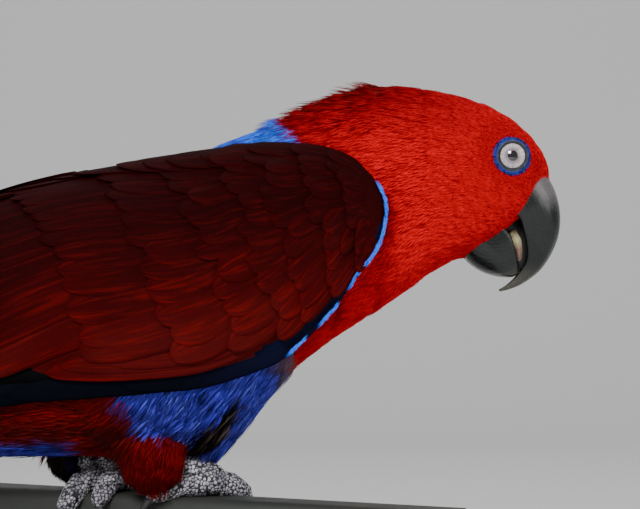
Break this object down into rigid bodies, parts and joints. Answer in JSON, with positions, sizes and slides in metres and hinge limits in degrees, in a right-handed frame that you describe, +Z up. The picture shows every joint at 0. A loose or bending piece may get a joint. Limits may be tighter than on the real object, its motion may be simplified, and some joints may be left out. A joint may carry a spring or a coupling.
{
  "type": "eclectus parrot model",
  "caption": "Life-size still model of a female eclectus parrot, red head, blue belly and maroon wings, gripping a short square rail on a plain display stand.",
  "frame": {"origin": "centre of the display stand's underside, where it rests on a table", "axes": "+Z up from the stand's underside, +X the way the bird faces and the longest way across the model, +Y to the bird's left"},
  "size_m": [0.3214, 0.1297, 0.2027],
  "materials": {
    "red_plumage": "fine silky red feathers",
    "blue_plumage": "hair-like blue feathers",
    "wing_plumage": "smooth dark maroon vanes",
    "tail_plumage": "smooth red vanes",
    "thigh_plumage": "loose dark red feathers",
    "eye": "wet gloss, pale iris and black pupil",
    "bill": "polished horn",
    "tongue": "moist, dull",
    "foot_skin": "pale grey scales",
    "claw": "polished black horn",
    "rail_metal": "dark satin paint",
    "stand_wood": "dark stained, satin",
    "stand_steel": "brushed"
  },
  "bodies": {
    "root": {"head": "red_plumage", "neck": "red_plumage", "torso": "blue_plumage", "tail": "tail_plumage", "wing_right": "wing_plumage", "wing_left": "wing_plumage", "thigh_right": "thigh_plumage", "thigh_left": "thigh_plumage", "eye_right": "eye", "eye_left": "eye", "bill_upper": "bill", "bill_lower": "bill", "tongue": "tongue", "foot_right": "foot_skin", "toe_right_1": "foot_skin", "toe_right_2": "foot_skin", "toe_right_3": "foot_skin", "toe_right_4": "foot_skin", "claw_right_1": "claw", "claw_right_2": "claw", "claw_right_3": "claw", "claw_right_4": "claw", "foot_left": "foot_skin", "toe_left_1": "foot_skin", "toe_left_2": "foot_skin", "toe_left_3": "foot_skin", "toe_left_4": "foot_skin", "claw_left_1": "claw", "claw_left_2": "claw", "claw_left_3": "claw", "claw_left_4": "claw", "perch_rail": "rail_metal", "stand_base": "stand_wood", "stand_rod_front": "stand_steel", "stand_rod_rear": "stand_steel"}
  },
  "joints": []
}
